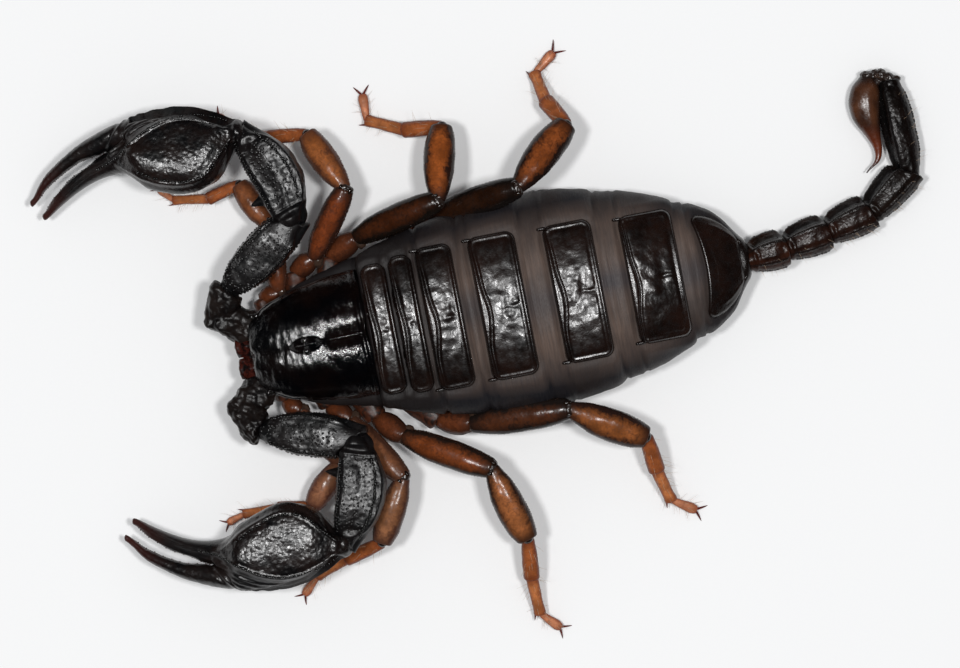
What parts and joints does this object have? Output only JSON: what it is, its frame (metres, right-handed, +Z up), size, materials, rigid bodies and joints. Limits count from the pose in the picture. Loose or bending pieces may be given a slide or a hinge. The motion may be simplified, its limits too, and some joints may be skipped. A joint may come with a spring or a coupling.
{
  "type": "wood scorpion",
  "caption": "Life-size model of a small dark scorpion resting on the floor, pincers forward, legs spread, full belly, thin tail laid to one side.",
  "frame": {"origin": "on the floor under the middle of the whole animal's box", "axes": "+Z up, +Y from the pincers towards the tail, +X to the animal's own left"},
  "size_m": [0.0296, 0.0438, 0.0053],
  "materials": {
    "shield": "glossy black-brown shell",
    "plate": "glossy dark brown shell, hammered",
    "skin": "matt grey-brown membrane, finely wrinkled",
    "underside": "satin red-brown shell",
    "comb": "pale tan, matt",
    "jaw": "glossy marbled brown",
    "leg_dark": "satin dark red-brown with black keels",
    "leg_amber": "satin translucent orange-brown",
    "palp": "granular black with a grey sheen",
    "tail": "granular charcoal and red-brown",
    "sting": "glossy orange-brown",
    "eye": "mirror-smooth black"
  },
  "bodies": {
    "root": {"carapace": "shield", "eye_median_left": "eye", "eyes_lateral_left": "eye", "chelicera_left": "jaw", "eye_median_right": "eye", "eyes_lateral_right": "eye", "chelicera_right": "jaw", "tergite_1": "plate", "tergite_2": "plate", "tergite_3": "plate", "tergite_4": "plate", "tergite_5": "plate", "tergite_6": "plate", "tergite_7": "plate", "trunk": "skin", "coxosternum": "underside", "pectine_left": "comb", "pectine_right": "comb", "leg_left_1_thigh": "leg_dark", "leg_left_1_patella": "leg_amber", "leg_left_1_foot": "leg_amber", "leg_left_2_thigh": "leg_dark", "leg_left_2_patella": "leg_amber", "leg_left_2_foot": "leg_amber", "leg_left_3_thigh": "leg_dark", "leg_left_3_patella": "leg_amber", "leg_left_3_foot": "leg_amber", "leg_left_4_thigh": "leg_dark", "leg_left_4_patella": "leg_amber", "leg_left_4_foot": "leg_amber", "leg_right_1_thigh": "leg_dark", "leg_right_1_patella": "leg_amber", "leg_right_1_foot": "leg_amber", "leg_right_2_thigh": "leg_dark", "leg_right_2_patella": "leg_amber", "leg_right_2_foot": "leg_amber", "leg_right_3_thigh": "leg_dark", "leg_right_3_patella": "leg_amber", "leg_right_3_foot": "leg_amber", "leg_right_4_thigh": "leg_dark", "leg_right_4_patella": "leg_amber", "leg_right_4_foot": "leg_amber", "palp_left_base": "palp", "palp_left_femur": "palp", "palp_left_patella": "palp", "palp_left_hand": "palp", "palp_left_finger": "palp", "palp_right_base": "palp", "palp_right_femur": "palp", "palp_right_patella": "palp", "palp_right_hand": "palp", "palp_right_finger": "palp", "tail_1": "tail", "tail_2": "tail", "tail_3": "tail", "tail_4": "tail", "tail_5": "tail", "telson": "sting"}
  },
  "joints": []
}
